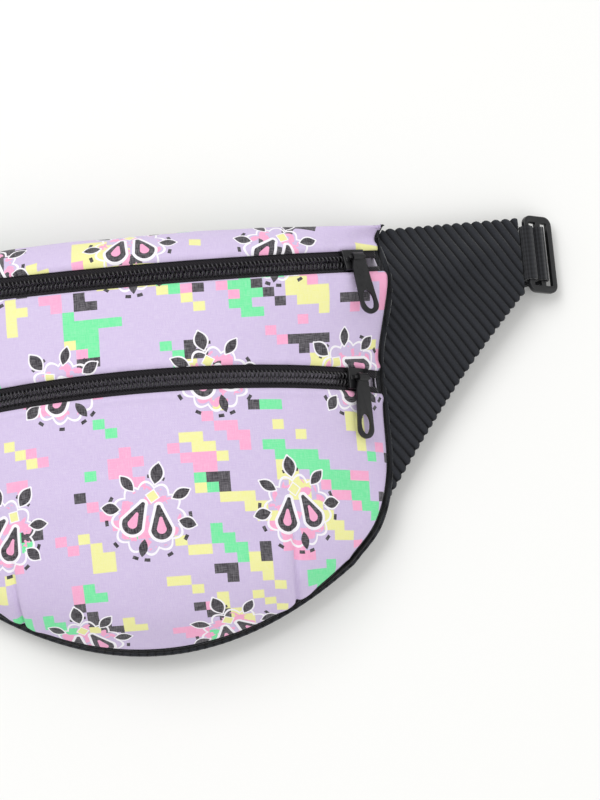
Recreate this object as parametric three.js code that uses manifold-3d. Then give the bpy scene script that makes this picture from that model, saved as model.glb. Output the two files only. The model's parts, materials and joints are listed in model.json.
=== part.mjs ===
// A waist pack lying on its back: a printed cotton front with two zips, a corduroy back
// and hip wings, and a webbing belt with a side-release buckle folded behind it.
// Millimetres. +Z points out of the front, +Y to the top edge, +X along the belt.
import * as THREE from "three";
import { mergeVertices } from "three/addons/utils/BufferGeometryUtils.js";
import Module from "manifold-3d";

// ---- Driving dimensions -----------------------------------------------------------
const topHalfWidth = 112;
const waistHalfWidth = 105;
const topEdge = 90.5;
const bottomEdge = -91;
const frontDepth = 58;
const seamLevel = 14.5;
const gap = 0.3;

const cloth = 1.5;
const lining = 0.8;
const backOverhang = 1.5;
const backRoll = 14;
const bindingWidth = 3.2;
const bindingHeight = 3.0;
const bindingDrop = 2.1;
const pocketDepth = 13;

const upperZipEnd = 75;
const upperZipMiddle = 69;
const upperZipDepth = 52;
const upperZipLean = THREE.MathUtils.degToRad(20);
const lowerZipLine = 20;
const zipLip = 5.2;
const zipFlat = 11;
const tapeReach = 10;
const tapeThickness = 0.8;
const coilReach = 3.1;
const coilInner = 0.6;
const coilThickness = 2.6;
const coilTop = -0.1;
const zipEndInset = 6.5;
const sliderParking = 3;

const sliderLength = 11;
const sliderHalfWidth = 4.8;
const sliderPlate = 1.4;
const dividerThickness = 0.6;
const dividerLength = 2.6;
const bridgeHalfLength = 4.2;
const bridgePost = 1.2;
const bridgeWidth = 1.4;
const bridgeThickness = 1.2;
const bridgeRise = 2.85;
const pullEyeRadius = 2.0;
const pullEyeBore = 1.1;
const pullLength = 29.5;
const pullThickness = 1.2;
const pullHeadHalf = 2.5;
const pullTopHalf = 3.6;
const pullEndHalf = 4.4;
const pullTilt = THREE.MathUtils.degToRad(2);

const wingEnd = 174.5;
const wingEndDepth = 34;
const wingThickness = 3;
const wingLevel = 12;
const wingHollow = 4;

const webWidth = 25;
const webThickness = 1.1;
const barWidth = 2.6;
const barThickness = 2.4;
const barPitch = 6.6;
const triglideLength = 36;
const triglideCorner = 4;
const triglideDroop = THREE.MathUtils.degToRad(35);
const beltLine = 74;

const buckleThickness = 8;
const buckleHalfWidth = 17;
const buckleMouth = 20;
const buckleBody = 24;
const buckleWall = 1.7;
const buckleSlot = 4.6;
const plugBase = 14;
const plugReach = 20;
const armWidth = 3;
const armLine = 11;

// ---- Values that follow -----------------------------------------------------------
const V = (x, y, z) => new THREE.Vector3(x, y, z);
const lerp = THREE.MathUtils.lerp;
const loopInner = Math.hypot(barWidth, barThickness) / 2 + gap - 0.02;
const loopOuter = loopInner + webThickness;
const beltLift = buckleThickness + 2 * gap;
const liftAt = (y) => beltLift * THREE.MathUtils.smoothstep(y, 12, 50);
const seamAt = (y) => seamLevel + 5 * THREE.MathUtils.smoothstep(y, 20, 60);
const tapeLevel = -cloth - gap;
const bindingBottom = bindingDrop + bindingHeight;
const backEdgeDrop = bindingBottom + gap + cloth;

const bag = new THREE.Group();

const finishes = {
  cotton: { color: 0xcbb8dd, roughness: 0.9, metalness: 0 },
  corduroy: { color: 0x23262a, roughness: 0.95, metalness: 0 },
  liningCloth: { color: 0xd9d2de, roughness: 0.9, metalness: 0 },
  webbing: { color: 0x1d1e20, roughness: 0.8, metalness: 0 },
  zipTape: { color: 0x1c1a1e, roughness: 0.85, metalness: 0 },
  zipCoil: { color: 0x202022, roughness: 0.45, metalness: 0 },
  blackMetal: { color: 0x161617, roughness: 0.35, metalness: 0.6 },
  blackPlastic: { color: 0x151617, roughness: 0.4, metalness: 0 },
};

function add(name, geometry, finish) {
  const mesh = new THREE.Mesh(geometry, new THREE.MeshStandardMaterial(finishes[finish]));
  mesh.name = name;
  bag.add(mesh);
  return mesh;
}

// ---- Solids from grids and from booleans ------------------------------------------
function signedVolume(points, faces) {
  const corner = (i) => V(points[3 * i], points[3 * i + 1], points[3 * i + 2]);
  let volume = 0;
  for (let f = 0; f < faces.length; f += 3) {
    const a = corner(faces[f]);
    volume += a.dot(corner(faces[f + 1]).cross(corner(faces[f + 2])));
  }
  return volume;
}

function closedBody(points, faces) {
  if (signedVolume(points, faces) < 0) faces.reverse();
  const geometry = new THREE.BufferGeometry();
  geometry.setAttribute("position", new THREE.Float32BufferAttribute(points, 3));
  geometry.setIndex(faces);
  return geometry;
}

// Two grids of (across + 1) by (along + 1) points, one each side of the wall, made one body.
function slab(outer, inner, across, along) {
  const row = across + 1;
  const side = row * (along + 1);
  const points = [];
  for (const surface of [outer, inner]) {
    for (let j = 0; j <= along; j += 1) {
      for (let i = 0; i <= across; i += 1) points.push(...surface(i / across, j / along).toArray());
    }
  }
  const faces = [];
  const quad = (a, b, c, d) => faces.push(a, b, c, a, c, d);
  for (let j = 0; j < along; j += 1) {
    for (let i = 0; i < across; i += 1) {
      const a = j * row + i;
      quad(a, a + 1, a + row + 1, a + row);
      quad(side + a, side + a + row, side + a + row + 1, side + a + 1);
    }
  }
  const edge = [];
  for (let i = 0; i < across; i += 1) edge.push(i);
  for (let j = 0; j < along; j += 1) edge.push(j * row + across);
  for (let i = across; i > 0; i -= 1) edge.push(along * row + i);
  for (let j = along; j > 0; j -= 1) edge.push(j * row);
  edge.forEach((a, k) => {
    const b = edge[(k + 1) % edge.length];
    quad(b, a, side + a, side + b);
  });
  return closedBody(points, faces);
}

// A wall of even thickness below a surface, measured along its normal.
function shell(surface, across, along, from, thickness) {
  const step = 1e-3;
  const sunk = (depth) => (a, b) => {
    const da = surface(Math.min(a + step, 1), b).sub(surface(Math.max(a - step, 0), b));
    const db = surface(a, Math.min(b + step, 1)).sub(surface(a, Math.max(b - step, 0)));
    const normal = db.cross(da).normalize();
    return surface(a, b).addScaledVector(normal, -depth);
  };
  return slab(sunk(from), sunk(from + thickness), across, along);
}

const wasm = await Module();
wasm.setup();

function solid(geometry) {
  const bare = geometry.clone();
  bare.deleteAttribute("normal");
  bare.deleteAttribute("uv");
  const merged = mergeVertices(bare, 1e-4);
  const vertProperties = new Float32Array(merged.attributes.position.array);
  const triVerts = new Uint32Array(merged.index.array);
  return new wasm.Manifold(new wasm.Mesh({ numProp: 3, vertProperties, triVerts }));
}

function meshed(manifold) {
  const mesh = manifold.getMesh();
  const geometry = new THREE.BufferGeometry();
  geometry.setAttribute("position", new THREE.BufferAttribute(mesh.vertProperties, 3));
  geometry.setIndex(new THREE.BufferAttribute(mesh.triVerts, 1));
  return geometry;
}

// A box given by its lowest and highest corner.
function block(x0, x1, y0, y1, z0, z1) {
  const box = new THREE.BoxGeometry(x1 - x0, y1 - y0, z1 - z0);
  return solid(box.translate((x0 + x1) / 2, (y0 + y1) / 2, (z0 + z1) / 2));
}

// ---- The front: every line across it is a circular arc ------------------------------
// A line across runs between two side points at (halfWidth, y, z) and a middle point.
function lineAcross(side, middle) {
  const rise = V(0, middle.y - side.y, middle.z - side.z);
  const height = Math.max(rise.length(), 0.01);
  rise.normalize();
  const radius = (side.x ** 2 + height ** 2) / (2 * height);
  const halfAngle = Math.asin(Math.min(side.x / radius, 1));
  const centre = V(0, middle.y, middle.z).addScaledVector(rise, -radius);
  const axis = V(0, rise.z, -rise.y);
  const radial = (angle) => V(Math.sin(angle), 0, 0).addScaledVector(rise, Math.cos(angle));
  return { radius, halfAngle, centre, axis, radial, at: (u) => {
    const angle = halfAngle * u;
    return centre.clone().addScaledVector(radial(angle), radius);
  } };
}

// A zip is a line across, with a frame that turns with it: along, across and out.
function zipLine(side, middle, lean) {
  const line = lineAcross(side, middle);
  const frameAt = (u) => {
    const out = line.radial(line.halfAngle * u);
    const across = line.axis.clone().multiplyScalar(Math.cos(lean)).addScaledVector(out, -Math.sin(lean));
    const normal = line.axis.clone().multiplyScalar(Math.sin(lean)).addScaledVector(out, Math.cos(lean));
    return { at: line.at(u), along: across.clone().cross(normal), across, normal };
  };
  const beside = (u, width, height) => {
    const f = frameAt(u);
    return f.at.addScaledVector(f.across, width).addScaledVector(f.normal, height);
  };
  const station = (width) => ({ side: beside(1, width, 0), middle: beside(0, width, 0) });
  return { line, frameAt, beside, station };
}

const upperZip = zipLine(
  V(topHalfWidth - 1, upperZipEnd, seamAt(upperZipEnd)),
  V(0, upperZipMiddle, upperZipDepth),
  upperZipLean,
);
const lowerZip = zipLine(
  V(waistHalfWidth + 1, lowerZipLine, seamAt(lowerZipLine)),
  V(0, lowerZipLine, frontDepth),
  0,
);

const onSeam = (x, y, rise = 0) => V(x, y, seamAt(y) + rise);
const backSeam = { side: onSeam(topHalfWidth - 0.5, topEdge - 0.5), middle: onSeam(0, topEdge - 0.5, 1) };
const topRidge = { side: onSeam(topHalfWidth, topEdge, 2), middle: V(0, topEdge, frontDepth - 20) };
const belly = { side: onSeam(waistHalfWidth, -22), middle: V(0, -35, frontDepth - 3) };
const lowBelly = { side: onSeam(waistHalfWidth - 7, -43), middle: V(0, -76, frontDepth - 21) };
const hem = { side: onSeam(84.6, -58), middle: onSeam(0, bottomEdge) };

// A surface through stations, each a line across, with 0..1 across and 0..1 down.
function lofted(stations) {
  const sides = new THREE.CatmullRomCurve3(stations.map((s) => s.side));
  const middles = new THREE.CatmullRomCurve3(stations.map((s) => s.middle));
  return (a, b) => lineAcross(sides.getPoint(b), middles.getPoint(b)).at(2 * a - 1);
}

const topSurface = lofted([backSeam, topRidge, upperZip.station(zipFlat), upperZip.station(zipLip)]);
const middleSurface = lofted([
  upperZip.station(-zipLip), upperZip.station(-zipFlat),
  lowerZip.station(zipFlat), lowerZip.station(zipLip),
]);
const lowerSurface = lofted([
  lowerZip.station(-zipLip), lowerZip.station(-zipFlat), belly, lowBelly, hem,
]);
add("front_top_panel", shell(topSurface, 22, 8, 0, cloth), "cotton");
add("front_middle_panel", shell(middleSurface, 22, 7, 0, cloth), "cotton");
add("front_lower_panel", shell(lowerSurface, 22, 12, 0, cloth), "cotton");

// ---- The zips -----------------------------------------------------------------------
const runOf = (zip) => 1 - zipEndInset / (zip.line.radius * zip.line.halfAngle);

function zipStrip(zip, near, far, top, thickness) {
  const run = runOf(zip);
  const surface = (level) => (a, b) => zip.beside(lerp(-run, run, a), lerp(near, far, b), level);
  return slab(surface(top), surface(top - thickness), 24, 1);
}

// The slider: two flanged plates joined by the divider, with a bridge for the pull.
function sliderBody() {
  const half = sliderLength / 2;
  const wide = sliderHalfWidth;
  const roof = coilTop + gap + 0.1;
  const floor = coilTop - coilThickness - gap;
  const slotTop = tapeLevel + 0.4;
  const slotBottom = tapeLevel - tapeThickness - 0.4;
  let body = block(-half, half, -wide, wide, floor - sliderPlate, roof + sliderPlate);
  const reach = coilReach + 0.4;
  body = body.subtract(block(-half - 1, half + 1, -reach, reach, floor, roof));
  body = body.subtract(block(-half - 1, half + 1, -wide - 1, wide + 1, slotBottom, slotTop));
  const divider = dividerThickness / 2;
  body = body.add(block(half - dividerLength, half, -divider, divider, floor - 0.2, roof + 0.2));
  const deck = roof + sliderPlate;
  const arch = bridgeHalfLength;
  const rail = bridgeWidth / 2;
  const crown = deck + bridgeRise;
  body = body.add(block(-arch, arch, -rail, rail, crown - bridgeThickness, crown));
  for (const s of [-1, 1]) {
    const post = s * (arch - bridgePost / 2);
    body = body.add(block(post - bridgePost / 2, post + bridgePost / 2, -rail, rail, deck - 0.2, crown));
  }
  return { body, barLevel: crown - bridgeThickness / 2 };
}

// The pull: a flared tab with a round end and an oval hole, and an eye rolled round the bridge.
function pullTab() {
  const tip = pullEyeRadius - pullLength;
  const round = tip + pullEndHalf;
  const shape = new THREE.Shape();
  shape.moveTo(-pullHeadHalf, -pullEyeBore - 0.3);
  shape.lineTo(-pullTopHalf, -pullEyeRadius - 3);
  shape.absarc(0, round, pullEndHalf, Math.PI, 2 * Math.PI, false);
  shape.lineTo(pullTopHalf, -pullEyeRadius - 3);
  shape.lineTo(pullHeadHalf, -pullEyeBore - 0.3);
  const hole = new THREE.Path();
  hole.absellipse(0, round + 2.2, pullEndHalf - 1.8, 4.6, 0, 2 * Math.PI, false);
  shape.holes.push(hole);
  const options = { depth: pullThickness, bevelEnabled: false, curveSegments: 8 };
  const tab = new THREE.ExtrudeGeometry(shape, options).translate(0, 0, -pullThickness / 2);
  const rod = (radius, length) => solid(new THREE.CylinderGeometry(radius, radius, length, 14).rotateZ(Math.PI / 2));
  const eye = rod(pullEyeRadius, 2 * pullHeadHalf).add(solid(tab));
  return meshed(eye.subtract(rod(pullEyeBore, 2 * pullHeadHalf + 2)));
}

const pivots = {};

function buildZip(name, zip) {
  const tape = (near, far) => zipStrip(zip, near, far, tapeLevel, tapeThickness);
  const coil = (near, far) => zipStrip(zip, near, far, coilTop, coilThickness);
  const tapeNear = coilReach + gap;
  add(`${name}_zip_tape_top`, tape(tapeNear, tapeReach), "zipTape");
  add(`${name}_zip_tape_bottom`, tape(-tapeReach, -tapeNear), "zipTape");
  add(`${name}_zip_coil_top`, coil(coilInner, coilReach), "zipCoil");
  add(`${name}_zip_coil_bottom`, coil(-coilReach, -coilInner), "zipCoil");

  const inset = sliderLength / 2 + sliderParking;
  const parked = runOf(zip) - inset / (zip.line.radius * zip.line.halfAngle);
  const frame = zip.frameAt(parked);
  const place = new THREE.Matrix4().makeBasis(frame.along, frame.across, frame.normal);
  place.setPosition(frame.at);
  const { body, barLevel } = sliderBody();
  add(`${name}_zip_slider`, meshed(body).applyMatrix4(place), "blackMetal");
  const hinge = new THREE.Matrix4().makeTranslation(0, 0, barLevel);
  const tilt = new THREE.Matrix4().makeRotationX(pullTilt);
  add(`${name}_zip_pull`, pullTab().applyMatrix4(tilt).applyMatrix4(hinge).applyMatrix4(place), "blackMetal");
  pivots[`${name}_zip`] = {
    at: zip.line.centre.clone(),
    axis: zip.line.axis.clone().negate(),
    degrees: THREE.MathUtils.radToDeg(2 * parked * zip.line.halfAngle),
  };
  pivots[`${name}_pull`] = {
    at: V(0, 0, barLevel).applyMatrix4(place),
    axis: frame.along.clone().negate(),
  };
}

buildZip("upper", upperZip);
buildZip("lower", lowerZip);

// ---- The back, its lining, the divider and the bound seam ---------------------------
const rim = [
  backSeam, upperZip.station(zipFlat), upperZip.station(-zipFlat),
  lowerZip.station(zipFlat), lowerZip.station(-zipFlat), belly, lowBelly, hem,
];
const rimSides = new THREE.CatmullRomCurve3(rim.map((s) => s.side));
const rimMiddles = new THREE.CatmullRomCurve3(rim.map((s) => V(0, s.middle.y, 0)));
const crowded = (s) => Math.sign(s) * (1 - (1 - Math.abs(s)) ** 1.5);

// The back's outside: flat, rolling up to the seam round its edge, lifted over the belt.
function backSurface(rise) {
  return (a, b) => {
    const u = crowded(2 * a - 1);
    const t = (1 + crowded(2 * b - 1)) / 2;
    const side = rimSides.getPoint(t);
    const x = (side.x + backOverhang) * u;
    const bow = rimMiddles.getPoint(t).y - side.y;
    const spread = lerp(backOverhang, -backOverhang, t);
    const y = side.y + bow * (1 - u * u) + spread;
    const top = topEdge - 0.5 + backOverhang - y;
    const bottom = y - (hem.side.y + (bottomEdge - hem.side.y) * (1 - u * u)) + backOverhang;
    const edge = Math.min((side.x + backOverhang) * (1 - Math.abs(u)), top, bottom, backRoll);
    const roll = (1 - Math.max(edge, 0) / backRoll) ** 2;
    const base = liftAt(y);
    return V(x, y, base + (side.z - backEdgeDrop - base) * roll + rise);
  };
}
const backAcross = 26;
const backAlong = 22;
add("back_panel", slab(backSurface(cloth), backSurface(0), backAcross, backAlong), "corduroy");

// The lining follows the back's own grid, two steps in at the sides and four at the ends.
function liningSurface(rise) {
  const back = backSurface(rise);
  const [fromSide, fromEnd] = [2 / backAcross, 4 / backAlong];
  return (a, b) => back(lerp(fromSide, 1 - fromSide, a), lerp(fromEnd, 1 - fromEnd, b));
}
const liningTop = liningSurface(cloth + gap + lining);
add("back_lining", slab(liningTop, liningSurface(cloth + gap), backAcross - 4, backAlong - 8), "liningCloth");

// The divider hangs from the upper zip's lower tape and ends at the bound seam.
const dividerInset = bindingWidth + 0.9;
const dividerDrop = bindingDrop + bindingHeight / 2;
const behind = (s, x, y, z) => ({
  side: V(s.side.x - x, s.side.y + y, s.side.z - dividerDrop),
  middle: V(0, s.middle.y + y, s.middle.z - z),
});
const dividerSurface = lofted([
  behind(upperZip.station(-zipFlat), dividerInset, 0, pocketDepth),
  behind(lowerZip.station(zipFlat), dividerInset, 0, pocketDepth),
  behind(lowerZip.station(-zipFlat), dividerInset, 0, pocketDepth),
  behind(belly, dividerInset, 0, pocketDepth),
  behind(lowBelly, dividerInset - 0.5, 2, pocketDepth),
  { side: onSeam(84.6 - 3, -58 + 3, -dividerDrop), middle: onSeam(0, bottomEdge + 4.4, -dividerDrop) },
]);
add("pocket_divider", shell(dividerSurface, 18, 12, 0, lining), "liningCloth");

// The bound seam: a square-sectioned ring just inside the seam, between front and back.
function ringPath() {
  const loop = [];
  const steps = 16;
  for (let i = 0; i < steps; i += 1) loop.push(rimSides.getPoint(i / steps));
  const bottom = lineAcross(hem.side, hem.middle);
  for (let i = 0; i < steps; i += 1) loop.push(bottom.at(1 - (2 * i) / steps));
  const left = loop.slice(0, steps).map((p) => V(-p.x, p.y, p.z)).reverse();
  loop.push(V(-hem.side.x, hem.side.y, hem.side.z), ...left);
  const top = lineAcross(backSeam.side, backSeam.middle);
  for (let i = 1; i < steps / 2; i += 1) loop.push(top.at(-1 + (4 * i) / steps));
  return loop;
}

function seamRing() {
  const loop = ringPath();
  const points = [];
  loop.forEach((p, i) => {
    const before = loop[(i + loop.length - 1) % loop.length];
    const after = loop[(i + 1) % loop.length];
    const inward = V(after.y - before.y, before.x - after.x, 0).normalize();
    for (const [reach, level] of [
      [gap, -bindingDrop], [gap + bindingWidth, -bindingDrop],
      [gap + bindingWidth, -bindingBottom], [gap, -bindingBottom],
    ]) {
      points.push(p.x + inward.x * reach, p.y + inward.y * reach, p.z + level);
    }
  });
  const faces = [];
  for (let i = 0; i < loop.length; i += 1) {
    const next = (i + 1) % loop.length;
    for (let k = 0; k < 4; k += 1) {
      const [a, b] = [4 * i + k, 4 * i + ((k + 1) % 4)];
      const [c, d] = [4 * next + ((k + 1) % 4), 4 * next + k];
      faces.push(a, b, c, a, c, d);
    }
  }
  return closedBody(points, faces);
}
add("seam_binding", seamRing(), "webbing");

// ---- The wings, loops, tri-glides and belt, made on the right and mirrored ----------
const wingSeamEnd = 5.5 / 7;

function wingSurface(level) {
  return (a, b) => {
    const seam = rimSides.getPoint(b * wingSeamEnd);
    const start = V(seam.x + backOverhang + 2 * gap, seam.y, seam.z - 5);
    const end = V(wingEnd, topEdge - wingEndDepth * b, wingLevel);
    const point = start.lerp(end, a);
    point.y += wingHollow * b * Math.sin(Math.PI * a);
    point.z += level;
    return point;
  };
}

// A strip of webbing whose middle line is drawn in the XZ plane, extruded across the belt.
function webbing(line, width) {
  const half = webThickness / 2;
  const offset = (s) => line.map((p, i) => {
    const before = line[Math.max(i - 1, 0)];
    const after = line[Math.min(i + 1, line.length - 1)];
    const along = after.clone().sub(before).normalize();
    return new THREE.Vector2(p.x - along.y * half * s, p.y + along.x * half * s);
  });
  const shape = new THREE.Shape([...offset(1), ...offset(-1).reverse()]);
  const options = { depth: width, bevelEnabled: false };
  const strip = new THREE.ExtrudeGeometry(shape, options);
  return strip.rotateX(Math.PI / 2).translate(0, beltLine + width / 2, 0);
}

// Points round a bar from one bearing to another, in degrees in the XZ plane.
function round(x, z, from, to, steps) {
  const radius = loopInner + webThickness / 2;
  return Array.from({ length: steps + 1 }, (_, i) => {
    const angle = THREE.MathUtils.degToRad(lerp(from, to, i / steps));
    return new THREE.Vector2(x + radius * Math.cos(angle), z + radius * Math.sin(angle));
  });
}

const P = (x, z) => new THREE.Vector2(x, z);
const innerBar = P(wingEnd + gap + loopOuter, wingLevel);
const droop = P(Math.cos(triglideDroop), -Math.sin(triglideDroop));
const middleBar = innerBar.clone().addScaledVector(droop, barPitch);
const droopDegrees = THREE.MathUtils.radToDeg(triglideDroop);

// The anchor: a closed tube of webbing round the tri-glide's inner bar.
function anchorLoop() {
  const tube = round(innerBar.x, innerBar.y, 150, -150, 14);
  const tail = wingEnd + gap;
  const layer = webThickness / 2 + 0.1;
  const root = (s) => [P(tail, wingLevel + s * layer), P(tail + 0.4, wingLevel + s * layer)];
  return webbing([...root(1), ...tube.slice(1, -1), ...root(-1).reverse()], webWidth);
}

function triglide() {
  const half = triglideLength / 2;
  const reach = barPitch + barWidth / 2;
  const corner = triglideCorner;
  const shape = new THREE.Shape();
  shape.absarc(reach - corner, -half + corner, corner, -Math.PI / 2, 0, false);
  shape.absarc(reach - corner, half - corner, corner, 0, Math.PI / 2, false);
  shape.absarc(-reach + corner, half - corner, corner, Math.PI / 2, Math.PI, false);
  shape.absarc(-reach + corner, -half + corner, corner, Math.PI, 1.5 * Math.PI, false);
  const options = { depth: barThickness, bevelEnabled: false, curveSegments: 5 };
  const plate = new THREE.ExtrudeGeometry(shape, options).translate(0, 0, -barThickness / 2);
  const slotHalf = half - barWidth - 0.6;
  const near = barWidth / 2;
  const far = barPitch - barWidth / 2;
  let frame = solid(plate);
  for (const [x0, x1] of [[-far, -near], [near, far]]) {
    frame = frame.subtract(block(x0, x1, -slotHalf, slotHalf, -barThickness, barThickness));
  }
  return meshed(frame).rotateY(triglideDroop).translate(middleBar.x, beltLine, middleBar.y);
}

const buckleBar = P(buckleMouth + buckleBody + buckleSlot + barWidth / 2, buckleThickness / 2);

// One belt half: hemmed round the tri-glide's middle bar, along the ground behind the
// pack, and hemmed round the bar of its buckle half.
function beltStrap() {
  const ground = webThickness / 2 + 0.05;
  const layer = ground + webThickness + 0.4;
  const bar = middleBar;
  const slope = P(-Math.sin(triglideDroop), -Math.cos(triglideDroop));
  const wrap = round(bar.x, bar.y, 180 - droopDegrees, -droopDegrees, 10);
  const upper = wrap[0];
  const lower = wrap[wrap.length - 1];
  const down = (p, level) => p.clone().addScaledVector(slope, (p.y - level) / -slope.y);
  const hemEnd = bar.x - 32;
  const buckleWrap = round(buckleBar.x, buckleBar.y, -60, -300, 12);
  return webbing([
    P(hemEnd, layer), down(upper, layer), ...wrap, down(lower, ground),
    P(buckleBar.x + 9, ground), ...buckleWrap, P(buckleBar.x + 6, layer + 0.6), P(buckleBar.x + 26, layer),
  ], webWidth);
}

const mirrored = (geometry) => {
  const copy = geometry.clone().scale(-1, 1, 1);
  const index = copy.index ? Array.from(copy.index.array) : [...copy.attributes.position.array.keys()];
  const corners = copy.index ? index : index.slice(0, copy.attributes.position.count);
  return copy.setIndex(corners.reverse());
};

const wing = slab(wingSurface(wingThickness / 2), wingSurface(-wingThickness / 2), 12, 14);
for (const [side, shaped] of [["right", (g) => g], ["left", mirrored]]) {
  add(`wing_${side}`, shaped(wing), "corduroy");
  add(`anchor_loop_${side}`, shaped(anchorLoop()), "webbing");
  add(`triglide_${side}`, shaped(triglide()), "blackPlastic");
  add(`belt_strap_${side}`, shaped(beltStrap()), "webbing");
}
pivots.triglide = { at: V(innerBar.x, beltLine, innerBar.y) };
pivots.belt = { at: V(middleBar.x, beltLine, middleBar.y) };

// ---- The side-release buckle, its halves apart behind the pack -----------------------
const [beltLow, beltHigh] = [beltLine - buckleHalfWidth, beltLine + buckleHalfWidth];

// The strap end of either half: a block with a slot and a bar for the webbing.
function strapEnd(from, to) {
  const slotHalf = webWidth / 2 + 1;
  const barEnd = to + buckleSlot + barWidth;
  let body = block(from, barEnd, beltLow, beltHigh, 0, buckleThickness);
  body = body.subtract(block(to, to + buckleSlot, beltLine - slotHalf, beltLine + slotHalf, -1, buckleThickness + 1));
  const barTop = (buckleThickness + barThickness) / 2;
  const barFloor = (buckleThickness - barThickness) / 2;
  const ends = [to + buckleSlot, barEnd + 1, beltLine - slotHalf, beltLine + slotHalf];
  body = body.subtract(block(...ends, barTop, buckleThickness + 1));
  return body.subtract(block(...ends, -1, barFloor));
}

function buckleSocket() {
  const end = buckleMouth + buckleBody;
  let body = strapEnd(buckleMouth, end);
  const inner = buckleHalfWidth - 3;
  const [low, high] = [buckleWall, buckleThickness - buckleWall];
  body = body.subtract(block(buckleMouth - 1, end - 2, beltLine - inner, beltLine + inner, low, high));
  return body.subtract(block(buckleMouth + 7, end - 6, beltLow - 1, beltHigh + 1, low, high));
}

function bucklePlug() {
  const base = buckleMouth + buckleBody - plugBase;
  const body = strapEnd(base, buckleMouth + buckleBody);
  const tongue = block(base - plugReach, base + 1, beltLine - 3, beltLine + 3, 2.2, buckleThickness - 2.2);
  return body.add(tongue);
}

function buckleArm(s) {
  const root = buckleMouth + buckleBody - plugBase - gap;
  const [low, high] = [2.0, buckleThickness - 2.0];
  const near = beltLine + s * (armLine - armWidth / 2);
  const far = beltLine + s * (armLine + armWidth / 2);
  const barb = beltLine + s * (armLine + 4.5);
  const [y0, y1] = [Math.min(near, far), Math.max(near, far)];
  const arm = block(root - plugReach, root, y0, y1, low, high);
  const [b0, b1] = [Math.min(near, barb), Math.max(near, barb)];
  return arm.add(block(root - plugReach + 3, root - plugReach + 10, b0, b1, low, high));
}

add("buckle_socket", meshed(buckleSocket()), "blackPlastic");
add("buckle_plug", mirrored(meshed(bucklePlug())), "blackPlastic");
add("buckle_arm_top", mirrored(meshed(buckleArm(1))), "blackPlastic");
add("buckle_arm_bottom", mirrored(meshed(buckleArm(-1))), "blackPlastic");
pivots.arm = { at: V(-(buckleMouth + buckleBody - plugBase - gap), armLine, buckleThickness / 2), line: beltLine };

// ---- Stand the model on its origin, at the middle of its base ------------------------
const extent = new THREE.Box3().setFromObject(bag);
const middle = extent.getCenter(V(0, 0, 0));
bag.position.set(-middle.x, -middle.y, -extent.min.z);
bag.userData.pivots = pivots;

export default bag;
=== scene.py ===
import json
import math

import bmesh
import bpy
import numpy as np
from mathutils import Matrix, Vector


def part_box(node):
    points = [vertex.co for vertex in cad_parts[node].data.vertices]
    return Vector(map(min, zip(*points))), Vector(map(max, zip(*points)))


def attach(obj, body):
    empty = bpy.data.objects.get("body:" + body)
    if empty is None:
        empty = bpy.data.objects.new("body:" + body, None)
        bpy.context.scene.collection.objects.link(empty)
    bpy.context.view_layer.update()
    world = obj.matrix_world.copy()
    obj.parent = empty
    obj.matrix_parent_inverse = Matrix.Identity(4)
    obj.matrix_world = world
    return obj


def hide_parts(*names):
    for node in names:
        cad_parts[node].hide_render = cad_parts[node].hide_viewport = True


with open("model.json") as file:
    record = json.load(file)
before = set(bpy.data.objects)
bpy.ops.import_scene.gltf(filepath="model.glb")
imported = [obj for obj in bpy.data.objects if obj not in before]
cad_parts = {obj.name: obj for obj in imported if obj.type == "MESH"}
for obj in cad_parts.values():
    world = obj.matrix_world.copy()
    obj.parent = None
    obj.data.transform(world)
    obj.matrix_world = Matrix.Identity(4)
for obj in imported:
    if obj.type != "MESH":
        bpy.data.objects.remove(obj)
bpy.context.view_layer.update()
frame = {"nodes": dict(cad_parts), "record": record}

joints = {joint["name"]: joint for joint in frame["record"]["behaviour"]["joints"]}

# The view: the pack lies on its back on a pale table and is seen from just below its
# hem, nearly straight down, close enough that the left wing is out of view.
look_at = Vector((0.069, 0.012, 0.030))
view_height = math.radians(78)
view_turn = math.radians(5)
view_distance = 1.0
seen_height = 0.352
camera_data = bpy.data.cameras.new("camera")
camera_data.sensor_width = 36
camera_data.lens = 36 * view_distance / seen_height
camera_data.clip_start = 0.01
camera = bpy.data.objects.new("camera", camera_data)
bpy.context.scene.collection.objects.link(camera)
backward = Vector((0, -math.cos(view_height), math.sin(view_height)))
level_up = backward.cross(Vector((1, 0, 0)))
right = Vector((1, 0, 0)) * math.cos(view_turn) - level_up * math.sin(view_turn)
up = Vector((1, 0, 0)) * math.sin(view_turn) + level_up * math.cos(view_turn)
turned = Matrix((right, up, backward)).transposed().to_4x4()
camera.matrix_world = Matrix.Translation(look_at + backward * view_distance) @ turned
bpy.context.scene.camera = camera
bpy.context.scene.view_settings.view_transform = "Standard"


# Materials are put together from nodes. A number that varies over the cloth is a Field,
# which adds its own Math nodes when it is used in an expression.
class Field:
    """A socket that can be added, multiplied and compared like a number."""

    def __init__(self, finish, socket):
        self.finish, self.socket = finish, socket

    def math(self, operation, *others):
        return self.finish.add("ShaderNodeMath", {"operation": operation}, [self, *others])

    def __add__(self, other): return self.math("ADD", other)
    def __sub__(self, other): return self.math("SUBTRACT", other)
    def __mul__(self, other): return self.math("MULTIPLY", other)
    def __truediv__(self, other): return self.math("DIVIDE", other)
    def __rsub__(self, other): return self * -1 + other
    def __lt__(self, other): return self.math("LESS_THAN", other)
    def __gt__(self, other): return self.math("GREATER_THAN", other)
    __radd__ = __add__
    __rmul__ = __mul__


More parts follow.
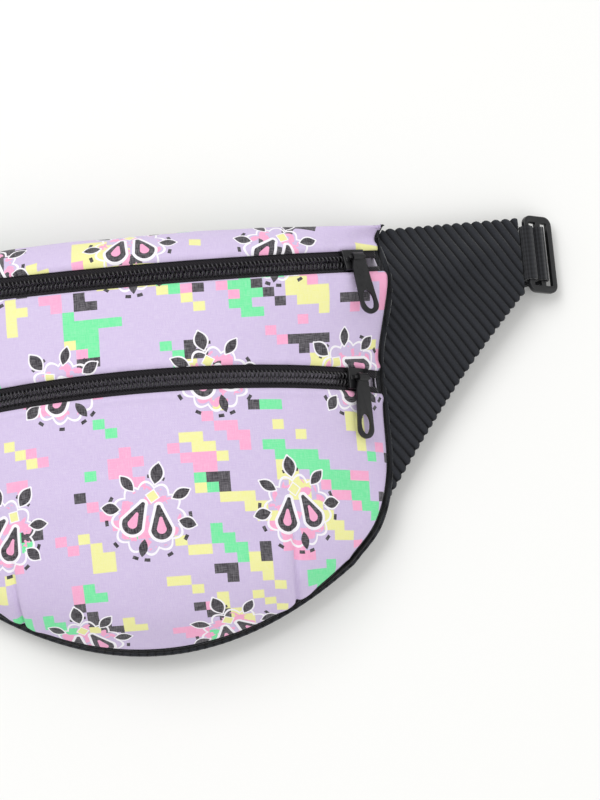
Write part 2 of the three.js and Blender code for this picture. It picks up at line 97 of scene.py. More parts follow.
class Finish:
    """A material with one Principled shader, and one way to add any other node."""

    def __init__(self, name, roughness=0.8, metallic=0.0, sheen=0.0, specular=0.5):
        self.material = bpy.data.materials.new(name)
        self.material.use_nodes = True
        self.nodes = self.material.node_tree.nodes
        self.links = self.material.node_tree.links
        self.shader = self.nodes["Principled BSDF"]
        self.shader.inputs["Roughness"].default_value = roughness
        self.shader.inputs["Metallic"].default_value = metallic
        self.shader.inputs["Sheen Weight"].default_value = sheen
        self.shader.inputs["Specular IOR Level"].default_value = specular

    def add(self, kind, settings=None, values=(), out=0):
        """A node of that kind, its settings made first and its sockets filled after."""
        node = self.nodes.new(kind)
        for key, value in (settings or {}).items():
            setattr(node, key, value)
        pairs = values.items() if isinstance(values, dict) else enumerate(values)
        for key, value in pairs:
            if isinstance(value, Field):
                self.links.new(value.socket, node.inputs[key])
            else:
                node.inputs[key].default_value = value
        return Field(self, node.outputs[out])

    def feed(self, socket, field):
        self.links.new(field.socket, self.shader.inputs[socket])

    def place(self, u, v, w=0.0):
        return self.add("ShaderNodeCombineXYZ", {}, [u, v, w])

    def split(self, vector):
        node = self.nodes.new("ShaderNodeSeparateXYZ")
        self.links.new(vector.socket, node.inputs[0])
        return [Field(self, node.outputs[i]) for i in range(3)]

    def noise(self, vector, scale, detail=2.0):
        return self.add("ShaderNodeTexNoise", {}, {"Vector": vector, "Scale": scale, "Detail": detail})

    def mix(self, factor, first, second):
        """first where factor is 0 and second where it is 1."""
        def colour(c):
            return c if isinstance(c, Field) else linear(c)
        settings = {"data_type": "RGBA"}
        return self.add("ShaderNodeMix", settings, {0: factor, 6: colour(first), 7: colour(second)}, 2)

    def bump(self, height, strength, distance):
        values = {"Height": height, "Strength": strength, "Distance": distance}
        self.feed("Normal", self.add("ShaderNodeBump", {}, values))


def linear(rgb):
    """An sRGB colour of 0 to 255 as the four linear numbers that a socket takes."""
    share = np.array(rgb) / 255
    return (*np.where(share <= 0.04045, share / 12.92, ((share + 0.055) / 1.055) ** 2.4), 1.0)


# The table and the light: one pale sheet, a large soft lamp over the pack's top left
# corner, a weaker one opposite, and an even white surround.
table_mesh = bpy.data.meshes.new("table")
reach = 3.0
table_mesh.from_pydata(
    [(-reach, -reach, -0.0002), (reach, -reach, -0.0002), (reach, reach, -0.0002), (-reach, reach, -0.0002)],
    [], [(0, 1, 2, 3)])
table = bpy.data.objects.new("table", table_mesh)
bpy.context.scene.collection.objects.link(table)
table_finish = Finish("table_white", roughness=0.9, specular=0.1)
table_finish.shader.inputs["Base Color"].default_value = linear((241, 241, 239))
table_mesh.materials.append(table_finish.material)
for lamp_name, place, power, size in (
    ("lamp_key", (-0.7, 0.8, 1.5), 17, 1.3),
    ("lamp_fill", (0.9, -0.8, 1.4), 9, 1.4),
):
    lamp_data = bpy.data.lights.new(lamp_name, "AREA")
    lamp_data.energy = power
    lamp_data.size = size
    lamp = bpy.data.objects.new(lamp_name, lamp_data)
    lamp.matrix_world = Matrix.Translation(place) @ Vector(place).to_track_quat("Z", "Y").to_matrix().to_4x4()
    bpy.context.scene.collection.objects.link(lamp)
world = bpy.data.worlds.new("surround")
world.use_nodes = True
world.node_tree.nodes["Background"].inputs["Color"].default_value = (1, 1, 1, 1)
world.node_tree.nodes["Background"].inputs["Strength"].default_value = 0.62
bpy.context.scene.world = world

# The front cloth: three panels of printed plain-weave cotton, each line across them a
# circular arc from seam to seam, stuffed out between the seam and the belly.
# Lengths in this and the next sections are millimetres until a mesh is made.
half_top, half_waist = 112.0, 105.0
top_line, hem_line = 90.5, -91.0
depth, seam_height = 58.0, 14.5
lower_line = 20.0
upper_ends, upper_middle, upper_height = 75.0, 69.0, 52.0
upper_lean = math.radians(20)
lip, flat = 5.2, 11.0
shift = joints["lower_zip_run"]["pos_m"][1] * 1000 - lower_line


def smooth(x, low, high):
    """0 below low, 1 above high, and an S between."""
    t = np.clip((x - low) / (high - low), 0, 1)
    return t * t * (3 - 2 * t)


def seam_at(y):
    """The height of the bound seam, which the belt lifts along the top."""
    return seam_height + 5 * float(smooth(y, 20, 60))


def arc(side, middle, u):
    """Points of circular arcs from -side through middle to +side; u runs -1 to 1."""
    rise = middle - side * [0, 1, 1]
    height = np.maximum(np.linalg.norm(rise, axis=-1, keepdims=True), 0.01)
    rise = rise / height
    radius = (side[..., :1] ** 2 + height ** 2) / (2 * height)
    angle = np.arcsin(np.minimum(side[..., :1] / radius, 1)) * u
    centre = middle - rise * radius
    along_x = np.array([1.0, 0, 0])
    return centre + radius * (np.sin(angle) * along_x + np.cos(angle) * rise)


def through(points, t):
    """A centripetal Catmull-Rom curve through the points, for t from 0 to 1."""
    points = np.array(points, float)
    ends = [2 * points[0] - points[1], *points, 2 * points[-1] - points[-2]]
    p = np.array(ends)
    place = np.clip(t, 0, 1) * (len(points) - 1)
    i = np.minimum(place.astype(int), len(points) - 2)
    s = (place - i)[:, None]
    p0, p1, p2, p3 = p[i], p[i + 1], p[i + 2], p[i + 3]
    d0, d1, d2 = [np.maximum(np.linalg.norm(b - a, axis=1, keepdims=True), 1e-4) ** 0.5
                  for a, b in ((p0, p1), (p1, p2), (p2, p3))]
    m1 = d1 * ((p1 - p0) / d0 - (p2 - p0) / (d0 + d1) + (p2 - p1) / d1)
    m2 = d1 * ((p2 - p1) / d1 - (p3 - p1) / (d1 + d2) + (p3 - p2) / d2)
    cubic = 2 * p1 - 2 * p2 + m1 + m2
    square = -3 * p1 + 3 * p2 - 2 * m1 - m2
    return cubic * s ** 3 + square * s ** 2 + m1 * s + p1


class Zip:
    """The line that a zip is sewn on: an arc, with directions along, across and out."""

    def __init__(self, side, middle, lean):
        self.side, self.middle, self.lean = np.array(side, float), np.array(middle, float), lean
        rise = self.middle - self.side * [0, 1, 1]
        height = np.linalg.norm(rise)
        self.rise = rise / height
        self.radius = (self.side[0] ** 2 + height ** 2) / (2 * height)
        self.half_angle = math.asin(self.side[0] / self.radius)
        self.centre = self.middle - self.rise * self.radius
        self.axis = np.array([0, self.rise[2], -self.rise[1]])

    def beside(self, u, across, out):
        """The point at u, that far across the zip and that far out of it."""
        angle = (self.half_angle * u)[..., None]
        radial = np.sin(angle) * [1.0, 0, 0] + np.cos(angle) * self.rise
        over = math.cos(self.lean) * self.axis - math.sin(self.lean) * radial
        normal = math.sin(self.lean) * self.axis + math.cos(self.lean) * radial
        return self.centre + radial * self.radius + over * across[..., None] + normal * out[..., None]

    def station(self, across):
        ends = self.beside(np.array([1.0, 0.0]), np.full(2, across), np.zeros(2))
        return ends[0], ends[1]


upper = Zip((half_top - 1, upper_ends, seam_at(upper_ends)), (0, upper_middle, upper_height), upper_lean)
lower = Zip((half_waist + 1, lower_line, seam_at(lower_line)), (0, lower_line, depth), 0.0)
back_seam = ((half_top - 0.5, top_line - 0.5, seam_at(top_line)), (0, top_line - 0.5, seam_at(top_line) + 1))
ridge = ((half_top, top_line, seam_at(top_line) + 2), (0, top_line, depth - 20))
belly = ((half_waist, -22, seam_height), (0, -35, depth - 3))
low_belly = ((half_waist - 7, -43, seam_height), (0, -76, depth - 21))
hem = ((84.6, -58, seam_height), (0, hem_line, seam_height))


def sewn(stations, across, down):
    """A grid of points on the cloth that runs through the stations, sides included."""
    t = np.linspace(0, 1, down)
    sides = through([s[0] for s in stations], t)[:, None, :]
    middles = through([s[1] for s in stations], t)[:, None, :]
    u = np.linspace(-1, 1, across)[None, :, None]
    return arc(sides, middles, u)


def normals(grid):
    """Outward directions of a grid of points, from its neighbours across and down."""
    over = np.gradient(grid, axis=1)
    down = np.gradient(grid, axis=0)
    out = np.cross(down, over)
    return out / np.maximum(np.linalg.norm(out, axis=-1, keepdims=True), 1e-9)


def reaches(grid):
    """Lengths along the cloth from its middle line and from its first row."""
    over = np.linalg.norm(np.diff(grid, axis=1), axis=-1)
    over = np.concatenate([np.zeros((len(grid), 1)), np.cumsum(over, axis=1)], axis=1)
    over = over - over[:, over.shape[1] // 2][:, None]
    down = np.linalg.norm(np.diff(grid, axis=0), axis=-1)
    down = np.concatenate([np.zeros((1, grid.shape[1])), np.cumsum(down, axis=0)], axis=0)
    return over, down


def mesh_of(name, points, faces, uv=None):
    """A smooth mesh object from points in millimetres, moved to the frame's origin."""
    mesh = bpy.data.meshes.new(name)
    flat_points = np.asarray(points, float).reshape(-1, 3)
    mesh.from_pydata(((flat_points + [0, shift, 0]) * 0.001).tolist(), [], np.asarray(faces).tolist())
    if uv is not None:
        layer = mesh.uv_layers.new(name="cloth")
        corners = np.empty(len(mesh.loops), np.int32)
        mesh.loops.foreach_get("vertex_index", corners)
        layer.data.foreach_set("uv", uv.reshape(-1, 2)[corners].astype(np.float32).ravel())
    mesh.polygons.foreach_set("use_smooth", np.ones(len(mesh.polygons), bool))
    piece = bpy.data.objects.new(name, mesh)
    bpy.context.scene.collection.objects.link(piece)
    return piece


def quads(rows, columns, closed=False):
    """Faces of a grid; closed joins its last column to its first."""
    r, c = np.meshgrid(np.arange(rows - 1), np.arange(columns - (not closed)), indexing="ij")
    a, b = r * columns + c, r * columns + (c + 1) % columns
    return np.stack([a, a + columns, b + columns, b], axis=-1).reshape(-1, 4)


def thicken(piece, thickness):
    """Gives cloth its thickness, inwards from the face that shows."""
    wall = piece.modifiers.new("thickness", "SOLIDIFY")
    wall.thickness = thickness * 0.001
    wall.offset = -1
    

rng = np.random.default_rng(7)
ripples = [(rng.uniform(24, 60), rng.uniform(0, math.pi), rng.uniform(0, 6.3)) for _ in range(9)]


def rumple(x, y):
    """Soft unevenness of stuffed cloth: waves of several lengths and directions."""
    total = 0
    for length, turn, start in ripples:
        total = total + np.sin(2 * math.pi * (x * math.cos(turn) + y * math.sin(turn)) / length + start)
    return total / len(ripples)


def lip_fold(edge, along):
    """A cloth edge turned under beside a zip: a low roll, then down, with small puckers."""
    roll = 0.55 * np.exp(-((edge - 2.4) / 1.6) ** 2) - 0.8 * np.exp(-edge / 0.55)
    gather = np.exp(-edge / 6) * (1 - np.exp(-edge / 1.5))
    pucker = 0.28 * np.sin(along / 2.1 + 2 * np.sin(along / 17)) * gather
    return roll + pucker


cloth_thickness = 1.1
panels = {
    "front_top_panel": ([back_seam, ridge, upper.station(flat), upper.station(lip)], 90, (False, True)),
    "front_middle_panel": (
        [upper.station(-lip), upper.station(-flat), lower.station(flat), lower.station(lip)],
        110, (True, True)),
    "front_lower_panel": (
        [lower.station(-lip), lower.station(-flat), belly, low_belly, hem],
        170, (True, False)),
}
dart_top, dart_side, dart_reach = -33.0, 62.0, 41.0
print_start = {"front_top_panel": 0.0, "front_middle_panel": 43.0, "front_lower_panel": 96.0}
cloth_pieces = {}
for name, (stations, down, folded) in panels.items():
    grid = sewn(stations, 250, down)
    out = normals(grid)
    over, along = reaches(grid)
    x, y = grid[..., 0], grid[..., 1]
    side_edge = over.max(axis=1, keepdims=True) - np.abs(over)
    push = 0.75 * rumple(x, y * 1.3) * np.tanh(side_edge / 14)
    push = push - 1.1 * np.exp(-side_edge / 1.4)
    near, far = along, along.max(axis=0, keepdims=True) - along
    if folded[0]:
        push = push * np.tanh(near / 9) + lip_fold(near, over)
    else:
        push = push * np.tanh(near / 12)
    if folded[1]:
        push = push * np.tanh(far / 9) + lip_fold(far, over + 31)
    else:
        push = push * np.tanh(far / 12) - 0.9 * np.exp(-far / 1.2)
    if name == "front_lower_panel":
        run = np.clip((dart_top - y) / dart_reach, 0, 1)
        away = np.abs(x) - (dart_side - 1.5 * run)
        push = push - 1.7 * run ** 0.6 * np.exp(-(away / 0.9) ** 2) * (run > 0)
        push = push + 1.0 * run ** 0.7 * np.exp(-((np.abs(away) - 4.5) / 3.5) ** 2)
    grid = grid + out * push[..., None]
    uv = np.stack([over, -along - print_start[name]], axis=-1) * 0.01
    piece = mesh_of(name + "_cotton", grid, quads(*grid.shape[:2]), uv)
    thicken(piece, cloth_thickness)
    cloth_pieces[name] = piece
    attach(piece, "bag")
    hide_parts(name)

# The print: lavender cotton with stepped patches in mint, yellow, pink and charcoal,
# and mirrored ornaments of drops and petals in tiles, each tile turned its own way.
cotton = Finish("printed_cotton", roughness=0.88, sheen=0.15, specular=0.25)
cloth_uv = cotton.add("ShaderNodeUVMap", {"uv_map": "cloth"})
u_mm, v_mm, _ = [part * 100 for part in cotton.split(cloth_uv)]
lavender = (203, 186, 222)
pink, yellow, mint, charcoal = (247, 168, 205), (240, 238, 158), (112, 232, 160), (60, 56, 62)
ink, white = (44, 40, 46), (246, 243, 248)
wash = cotton.noise(cotton.place(u_mm * 0.012, v_mm * 0.012), 1.0)
ground = cotton.mix(wash, lavender, (210, 195, 227))
step_u, step_v = 5.2, 4.4
cell_u = (u_mm / step_u).math("FLOOR")
cell_v = (v_mm / step_v).math("FLOOR")
slant, spread = (cell_u + cell_v) * 0.33, (cell_u - cell_v) * 0.13
for number, (patch, level) in enumerate(((pink, 0.675), (yellow, 0.665), (mint, 0.69), (charcoal, 0.715))):
    spot = cotton.place(slant + 7.3 * number, spread + 3.1 * number, 1.7 * number)
    ground = cotton.mix(cotton.noise(spot, 1.0, 0.0) > level, ground, patch)
tile_u, tile_v = 66.0, 60.0
row = (v_mm / tile_v).math("FLOOR")
staggered = u_mm / tile_u + row * 0.5
column = staggered.math("FLOOR")
pick = cotton.add("ShaderNodeTexWhiteNoise", {"noise_dimensions": "2D"}, {"Vector": cotton.place(column, row)})
turn = (pick - 0.5) * 2.2
local_u = (staggered - column - 0.5) * tile_u
local_v = (v_mm / tile_v - row - 0.5) * tile_v
cosine, sine = turn.math("COSINE"), turn.math("SINE")
mirror_x = (local_u * cosine - local_v * sine).math("ABSOLUTE")
up_y = local_u * sine + local_v * cosine


def drop(start, end, wide, thin, almond=False):
    """The distance to a stroke from start to end, wide at one end and thin at the other."""
    run = np.subtract(end, start)
    from_x, from_y = mirror_x - start[0], up_y - start[1]
    share = ((from_x * run[0] + from_y * run[1]) / float(run @ run)).math("MINIMUM", 1).math("MAXIMUM", 0)
    gap_x, gap_y = from_x - share * run[0], from_y - share * run[1]
    gap = (gap_x * gap_x + gap_y * gap_y).math("SQRT")
    body = share * (1 - share) * 4 * wide if almond else share * (thin - wide) + wide
    return gap - body


def band(distance, low, high):
    return (distance > low) * (distance < high)


tear = drop((6.3, -3.5), (3.4, 5.6), 4.5, 0.9)
core = drop((6.3, -3.4), (5.2, 1.0), 2.1, 0.7)
petal = drop((0.0, 15.0), (0.0, 24.0), 2.6, 0, almond=True)
leaf = drop((8.5, 10.5), (15.0, 15.5), 2.0, 0, almond=True)
sprig = drop((13.0, 1.5), (20.5, 1.0), 2.3, 0, almond=True)
stem = drop((0.0, -9.0), (0.0, -17.0), 1.9, 0, almond=True)
radius = (mirror_x * mirror_x + up_y * up_y).math("SQRT")
bearing = mirror_x.math("ARCTAN2", up_y)
scallop = radius - 13.2 - (bearing * 6).math("SINE").math("ABSOLUTE") * 2.4
beads = band(radius, 17.2, 18.7) * ((bearing * 11).math("SINE") > 0.72)
diamond = mirror_x + (up_y - 9.6).math("ABSOLUTE")
blush = (scallop < -1.6) * (cotton.noise(cotton.place(u_mm, v_mm), 0.16) > 0.52)
figure = cotton.mix(blush, ground, pink)
for mask, colour in (
    (scallop.math("ABSOLUTE") < 0.55, white), (beads, ink), (band(tear, 0.0, 1.3), white), (tear < 0, ink),
    (core < 0, pink), (band(petal, 0, 0.8), white), (petal < 0, ink), (band(leaf, 0, 0.7), white),
    (leaf < 0, ink), (band(sprig, 0, 0.7), white), (sprig < 0, ink), (stem < 0, ink),
    (diamond < 2.6, yellow), (band(diamond, 2.6, 3.3), white),
):
    figure = cotton.mix(mask, figure, colour)
thread_u = cotton.noise(cotton.place(u_mm * 0.25, v_mm * 3.6), 1.0)
thread_v = cotton.noise(cotton.place(u_mm * 3.6, v_mm * 0.25, 5.0), 1.0)
slub = (thread_u + thread_v) * 0.5
cotton.feed("Base Color", cotton.mix((slub - 0.42) * 0.75, figure, (252, 248, 255)))
weave = (u_mm * 9.0).math("SINE") * (v_mm * 9.0).math("SINE") * 0.35 + slub
cotton.bump(weave, 0.35, 0.0003)
for piece in cloth_pieces.values():
    piece.data.materials.append(cotton.material)

# The corduroy: black wide-wale cotton pile. The wales are ribs of pile with a groove between,
# so they are in the mesh; the pile itself is only grain. Its colour is also painted darker in the
# grooves as painted shade and lighter on the crests as painted highlight.
wale_pitch, wale_height = 3.7, 1.35


def wales(along_normal):
    """Height of the ribs over a distance measured square to them."""
    phase = np.abs(np.sin(math.pi * along_normal / wale_pitch))
    return wale_height * (phase ** 0.65 - 0.6)


corduroy = Finish("black_corduroy", roughness=0.95, sheen=0.35, specular=0.2)
corduroy.shader.inputs["Sheen Roughness"].default_value = 0.45
pile_place = corduroy.add("ShaderNodeTexCoord", out="Object")
pile_fine = corduroy.noise(pile_place, 1400.0, 3.0)
pile_broad = corduroy.noise(pile_place, 90.0, 2.0)
pile = pile_fine * 0.6 + pile_broad * 0.4
# Painted shade and highlight: the colour follows each point's rib height, dark in the grooves and lighter on the
# crests.
painted_rib_shading = corduroy.add("ShaderNodeAttribute", {"attribute_name": "rib"}, out=2)
corduroy.feed("Base Color", corduroy.mix(painted_rib_shading * (pile + 0.45), (5, 5, 6), (44, 46, 51)))
corduroy.bump(pile, 0.7, 0.0005)



def mark_rib_shading(piece, height):
    """Stores how far up its rib each point is, from 0 in a groove to 1 on the crest; the corduroy colour turns
    this into painted shade in the grooves and painted highlight on the crests.
    """
    share = np.clip(height / wale_height + 0.6, 0, 1).astype(np.float32)
    piece.data.attributes.new("rib", "FLOAT", "POINT").data.foreach_set("value", share.ravel())


rim = [back_seam, upper.station(flat), upper.station(-flat), lower.station(flat), lower.station(-flat),
       belly, low_belly, hem]
rim_sides = [s[0] for s in rim]
wing_end, wing_end_depth, wing_level = 174.5, 34.0, 12.0
wing_hollow, wing_plump = 4.0, 3.6
wing_seam_share = 5.5 / 7
wale_turn = math.radians(57)


def wing_grid(along_count, round_count):
    """A flat pad: for each step out from the seam, a closed loop over and under it."""
    a = np.linspace(0, 1, along_count)[:, None]
    w = np.linspace(0, 2 * math.pi, round_count, endpoint=False)[None, :]
    b = 0.5 - 0.5 * np.cos(w)
    thick = np.sign(np.sin(w)) * np.abs(np.sin(w)) ** 0.45 * wing_plump / 2
    seam = through(rim_sides, (b * wing_seam_share).ravel()).reshape(1, -1, 3)
    start = seam + [1.2, 0, -5]
    end = np.stack([np.full_like(b, wing_end), top_line - wing_end_depth * b, np.full_like(b, wing_level)], -1)
    point = start + (end - start) * a[..., None]
    point[..., 1] += wing_hollow * b * np.sin(math.pi * a)
    puff = 1 + 0.5 * np.sin(math.pi * b) * np.sin(math.pi * np.clip(a, 0, 1))
    point[..., 2] += thick * puff
    return point


def close_ends(piece):
    """Caps the open ends of a tube and turns its faces outwards."""
    shape = bmesh.new()
    shape.from_mesh(piece.data)
    bmesh.ops.holes_fill(shape, edges=shape.edges[:], sides=0)
    bmesh.ops.recalc_face_normals(shape, faces=shape.faces[:])
    shape.to_mesh(piece.data)
    shape.free()


wing = wing_grid(170, 500)
wing_out = normals(np.concatenate([wing, wing[:, :1]], axis=1))[:, :-1]
facing = np.sign((wing_out * (wing - wing.mean(axis=1, keepdims=True))).sum())
square = wing[..., 0] * math.sin(wale_turn) + wing[..., 1] * math.cos(wale_turn)
square = square + 0.35 * np.sin(wing[..., 1] / 9) + 0.25 * np.sin(wing[..., 0] / 7)
wing = wing + facing * wing_out * wales(square)[..., None]
for side, sign in (("right", 1), ("left", -1)):
    points = wing * [sign, 1, 1]
    rows, columns = points.shape[:2]
    faces = quads(rows, columns, closed=True)
    piece = mesh_of(f"wing_{side}_corduroy", points, faces)
    close_ends(piece)
    mark_rib_shading(piece, wales(square))
    piece.data.materials.append(corduroy.material)
    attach(piece, "bag")
    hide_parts(f"wing_{side}")

# The back: one piece of the same corduroy, flat where it lies and rolling up to the
# seam all round, lifted along the top where the belt runs behind it.
overhang, back_roll, back_drop, belt_lift = 2.2, 14.0, 6.9, 8.6
binding_cover, back_thickness = 3.6, 1.2
rows, columns = 165, 290
a = np.linspace(-1, 1, columns)[None, :]
b = np.linspace(-1, 1, rows)[:, None]
crowd_u = np.sign(a) * (1 - (1 - np.abs(a)) ** 1.3)
crowd_t = (1 + np.sign(b) * (1 - (1 - np.abs(b)) ** 1.3)) / 2
back_side = through(rim_sides, crowd_t.ravel())[:, None, :]
back_middle = through([(0, s[1][1], 0) for s in rim], crowd_t.ravel())[:, None, 1]
x = (back_side[..., 0] + overhang) * crowd_u
y = back_side[..., 1] + (back_middle - back_side[..., 1]) * (1 - crowd_u ** 2) + overhang * (1 - 2 * crowd_t)
from_side = (back_side[..., 0] + overhang) * (1 - np.abs(crowd_u))
from_top = top_line - 0.5 + overhang - y
from_hem = y - (-58 + (hem_line + 58) * (1 - crowd_u ** 2)) + overhang
edge = np.clip(np.minimum(np.minimum(from_side, from_top), np.minimum(from_hem, back_roll)), 0, None)
base = belt_lift * smooth(y, 12, 50)
roll = (1 - edge / back_roll) ** 2
z = base + (back_side[..., 2] - back_drop + binding_cover - base) * roll
z = z + np.maximum(wales(x) + 0.1, 0) * (0.2 + 0.8 * roll)
piece = mesh_of("back_corduroy", np.stack([x, y, z], -1), quads(rows, columns)[:, ::-1])
thicken(piece, back_thickness)
mark_rib_shading(piece, wales(x))
piece.data.materials.append(corduroy.material)
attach(piece, "bag")
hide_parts("back_panel")

# The zips: woven tape each side, and a nylon coil whose turns stand in two rows. Every
# turn is a short bent filament from the tape's edge up over the chain's middle.
tape_finish = Finish("zip_tape", roughness=0.85, sheen=0.2, specular=0.2)
tape_place = tape_finish.add("ShaderNodeTexCoord", out="Object")
tape_x, tape_y, tape_z = tape_finish.split(tape_place)
twill = ((tape_x + tape_y) * 5200).math("SINE") * 0.5 + 0.5
tape_finish.feed("Base Color", tape_finish.mix(twill, (20, 18, 22), (44, 41, 46)))
tape_finish.bump(twill, 0.5, 0.0002)
coil_finish = Finish("zip_coil", roughness=0.34, specular=0.55)
coil_place = coil_finish.add("ShaderNodeTexCoord", out="Object")
coil_finish.feed("Base Color", coil_finish.mix(coil_finish.noise(coil_place, 900.0), (26, 26, 28), (58, 57, 60)))
coil_pitch, filament = 1.9, 0.42
end_inset, tape_inset = 6.5, 1.0
tape_inner, tape_outer, tape_thickness = 2.2, 9.6, 0.6
coil_reach, coil_span, coil_foot, coil_rise = 3.05, 2.95, -1.5, 1.75
coil_slant, coil_drop = 0.9, 0.35
bend_steps, ring_steps = 9, 6
for zip_name, line in (("upper", upper), ("lower", lower)):
    run = 1 - end_inset / (line.radius * line.half_angle)
    tape_run = 1 - tape_inset / (line.radius * line.half_angle)
    u = np.linspace(-tape_run, tape_run, 200)[:, None]
    for row_name, side in (("top", 1), ("bottom", -1)):
        across = side * np.linspace(tape_inner, tape_outer, 9)[None, :]
        level = -1.75 - 0.25 * np.cos((np.abs(across) - tape_inner) * 1.1) + 0 * u
        grid = line.beside(u + 0 * across, across + 0 * u, level)
        faces = quads(*grid.shape[:2])
        tape = mesh_of(f"{zip_name}_tape_{row_name}", grid, faces if side > 0 else faces[:, ::-1])
        thicken(tape, tape_thickness)
        tape.data.materials.append(tape_finish.material)
        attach(tape, "bag")
        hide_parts(f"{zip_name}_zip_tape_{row_name}")
        length = 2 * run * line.half_angle * line.radius
        turns = int(length / coil_pitch)
        start = (np.arange(turns) + 0.5 * (side > 0)) * coil_pitch / length * 2 * run - run
        bend = np.linspace(0, 1, bend_steps)
        path_across = coil_reach - coil_span * bend
        path_out = coil_foot + coil_rise * np.sin(math.pi * bend) ** 0.7
        path_along = (bend - 0.5) * coil_slant
        spin = np.linspace(0, 2 * math.pi, ring_steps, endpoint=False)
        slope_out = np.gradient(path_out)
        slope_across = np.gradient(path_across)
        lean = np.arctan2(slope_out, slope_across)
        ring_along = filament * np.cos(spin)[None, :] + path_along[:, None]
        ring_across = path_across[:, None] - filament * np.sin(spin)[None, :] * np.sin(lean)[:, None]
        ring_out = path_out[:, None] + filament * np.sin(spin)[None, :] * np.cos(lean)[:, None]
        step_angle = ring_along[None] / (line.radius * line.half_angle)
        points = line.beside(start[:, None, None] + step_angle, side * ring_across[None] + 0 * step_angle,
                             ring_out[None] - coil_drop + 0 * step_angle)
        one = quads(bend_steps, ring_steps, closed=True)
        faces = (one[None] + (np.arange(turns) * bend_steps * ring_steps)[:, None, None]).reshape(-1, 4)
        coil = mesh_of(f"{zip_name}_coil_{row_name}", points, faces)
        close_ends(coil)
        coil.data.materials.append(coil_finish.material)
        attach(coil, "bag")
        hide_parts(f"{zip_name}_zip_coil_{row_name}")

# The hardware: zinc sliders and pulls in black enamel, and moulded acetal tri-glides
# and buckle. Each keeps its working shape, with its edges rounded as a casting's are.
enamel = Finish("black_enamel", roughness=0.32, metallic=0.25, specular=0.6)
enamel_place = enamel.add("ShaderNodeTexCoord", out="Object")
enamel_grain = enamel.noise(enamel_place, 420.0, 3.0)
enamel.feed("Base Color", enamel.mix(enamel_grain, (20, 20, 22), (38, 38, 40)))
enamel.feed("Roughness", enamel_grain * 0.25 + 0.2)
acetal = Finish("black_acetal", roughness=0.38, specular=0.5)
acetal_place = acetal.add("ShaderNodeTexCoord", out="Object")
acetal_grain = acetal.noise(acetal_place, 800.0, 2.0)
acetal.feed("Base Color", acetal.mix(acetal_grain, (18, 18, 20), (34, 35, 37)))
acetal.feed("Roughness", acetal_grain * 0.2 + 0.28)
acetal.bump(acetal_grain, 0.15, 0.0001)


def rounded(node, radius, segments=3):
    """A copy of a CAD solid with its flats joined up and its edges rounded."""
    source = frame["nodes"][node]
    shape = bmesh.new()
    shape.from_mesh(source.data)
    bmesh.ops.remove_doubles(shape, verts=shape.verts[:], dist=1e-6)
    bmesh.ops.dissolve_limit(shape, angle_limit=math.radians(1), verts=shape.verts[:], edges=shape.edges[:])
    bmesh.ops.recalc_face_normals(shape, faces=shape.faces[:])
    mesh = bpy.data.meshes.new(node + "_finished")
    shape.to_mesh(mesh)
    shape.free()
    mesh.polygons.foreach_set("use_smooth", np.ones(len(mesh.polygons), bool))
    piece = bpy.data.objects.new(node + "_finished", mesh)
    bpy.context.scene.collection.objects.link(piece)
    bevel = piece.modifiers.new("rounding", "BEVEL")
    bevel.width = radius * 0.001
    bevel.segments = segments
    bevel.limit_method = "ANGLE"
    bevel.angle_limit = math.radians(25)
    bevel.harden_normals = True
    return piece


hardware = (
    ("upper_zip_slider", "upper_slider", 0.35, enamel, "black_metal"),
    ("lower_zip_slider", "lower_slider", 0.35, enamel, "black_metal"),
    ("upper_zip_pull", "upper_pull", 0.35, enamel, "black_metal"),
    ("lower_zip_pull", "lower_pull", 0.35, enamel, "black_metal"),
    ("triglide_right", "right_triglide", 0.7, acetal, "black_plastic"),
    ("triglide_left", "left_triglide", 0.7, acetal, "black_plastic"),
    ("buckle_socket", "right_belt", 0.6, acetal, "black_plastic"),
    ("buckle_plug", "left_belt", 0.6, acetal, "black_plastic"),
    ("buckle_arm_top", "arm_top", 0.5, acetal, "black_plastic"),
    ("buckle_arm_bottom", "arm_bottom", 0.5, acetal, "black_plastic"),
)
for node, body, radius_mm, finish, slot_name in hardware:
    piece = rounded(node, radius_mm)
    piece.data.materials.append(finish.material)
    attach(piece, body)
    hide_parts(node)

# The webbing: 25 mm black polyester, ribbed across. Two short tubes hold the
# tri-glides, and two long strips, hemmed at both ends, are the belt.
webbing = Finish("black_webbing", roughness=0.8, sheen=0.2, specular=0.25)
web_place = webbing.add("ShaderNodeTexCoord", out="Object")
web_x, web_y, web_z = webbing.split(web_place)
web_rib = ((web_x + web_z) * 2 * math.pi * 620).math("SINE") * 0.5 + 0.5
web_row = (web_y * 2 * math.pi * 480).math("SINE") * 0.5 + 0.5
web_weave = web_rib * 0.7 + web_row * 0.3
webbing.feed("Base Color", webbing.mix(web_weave, (16, 17, 19), (44, 45, 49)))
webbing.bump(web_weave, 0.8, 0.0003)
rib_length, rib_depth = 1.6, 0.2


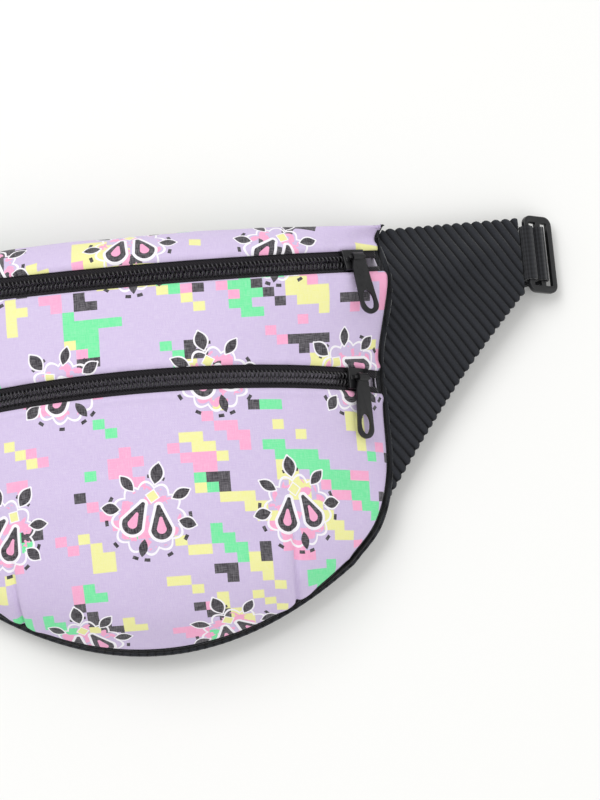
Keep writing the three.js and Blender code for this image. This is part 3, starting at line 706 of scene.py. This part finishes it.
def ribbed(node):
    """The strap along its CAD route, cut across in steps and pressed in between ribs.

    depth(x) = rib_depth * (1 - cos(2 pi x / rib_length)) / 2, square to the surface
    """
    shape = bmesh.new()
    shape.from_mesh(frame["nodes"][node].data)
    bmesh.ops.remove_doubles(shape, verts=shape.verts[:], dist=1e-6)
    start, end = [corner[0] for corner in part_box(node)]
    for x_cut in np.arange(start, end, rib_length * 0.001 / 4)[1:]:
        everything = shape.verts[:] + shape.edges[:] + shape.faces[:]
        bmesh.ops.bisect_plane(shape, geom=everything, plane_co=(x_cut, 0, 0), plane_no=(1, 0, 0))
    bmesh.ops.recalc_face_normals(shape, faces=shape.faces[:])
    mesh = bpy.data.meshes.new(node + "_webbing")
    shape.to_mesh(mesh)
    shape.free()
    place = np.empty(len(mesh.vertices) * 3)
    outward = np.empty(len(mesh.vertices) * 3)
    mesh.vertices.foreach_get("co", place)
    mesh.vertex_normals.foreach_get("vector", outward)
    place, outward = place.reshape(-1, 3), outward.reshape(-1, 3)
    pressed = rib_depth * (1 - np.cos(2 * math.pi * (place[:, 0] - start) * 1000 / rib_length)) / 2
    mesh.vertices.foreach_set("co", (place - outward * pressed[:, None] * 0.001).ravel())
    mesh.polygons.foreach_set("use_smooth", np.ones(len(mesh.polygons), bool))
    piece = bpy.data.objects.new(node + "_webbing", mesh)
    bpy.context.scene.collection.objects.link(piece)
    edge = piece.modifiers.new("selvage", "BEVEL")
    edge.width = 0.0002
    edge.segments = 2
    edge.limit_method = "ANGLE"
    edge.angle_limit = math.radians(60)
    return piece


for node, body in (
    ("anchor_loop_right", "bag"), ("anchor_loop_left", "bag"),
    ("belt_strap_right", "right_belt"), ("belt_strap_left", "left_belt"),
):
    piece = ribbed(node)
    piece.data.materials.append(webbing.material)
    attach(piece, body)
    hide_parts(node)

# The inside: the divider that makes the front pocket, the lining of the back, and the
# tape that binds the seam all round. All are thin plain cloth.
lining = Finish("lining_cloth", roughness=0.7, sheen=0.3, specular=0.3)
lining_place = lining.add("ShaderNodeTexCoord", out="Object")
lining_grain = lining.noise(lining_place, 700.0, 3.0)
lining.feed("Base Color", lining.mix(lining_grain, (196, 186, 206), (232, 226, 238)))
lining.bump(lining_grain, 0.4, 0.0003)
lining_inset, lining_rise, slack = 0.96, 1.6, 0.35
lining_thickness = 0.25
waist_fall, curve_fall, hem_fall = top_line - lower_line, lower_line + 22, 36.0
hem_width, hem_drop = 2 * 84.6, -58 - hem_line
flat_area = ((half_top + half_waist + 1) * waist_fall + 2 * half_waist * curve_fall
             + (half_waist + hem_width / 2) * hem_fall + hem_width * hem_drop * 2 / 3) * lining_inset ** 2
loose = rumple(x * 1.6, y * 1.9) * slack
lining_points = np.stack([x * lining_inset, y * lining_inset, z + lining_rise + np.maximum(loose, 0)], -1)
piece = mesh_of("back_lining_cloth", lining_points, quads(rows, columns)[:, ::-1])
thicken(piece, lining_thickness)
piece.data.materials.append(lining.material)
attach(piece, "bag")
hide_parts("back_lining")
flat_area * 1e-6
for node, finish, slot_name in (
    ("pocket_divider", lining, "lining"), ("seam_binding", webbing, "webbing"),
):
    piece = rounded(node, 0.15, 2)
    piece.data.materials.append(finish.material)
    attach(piece, "bag")
    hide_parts(node)
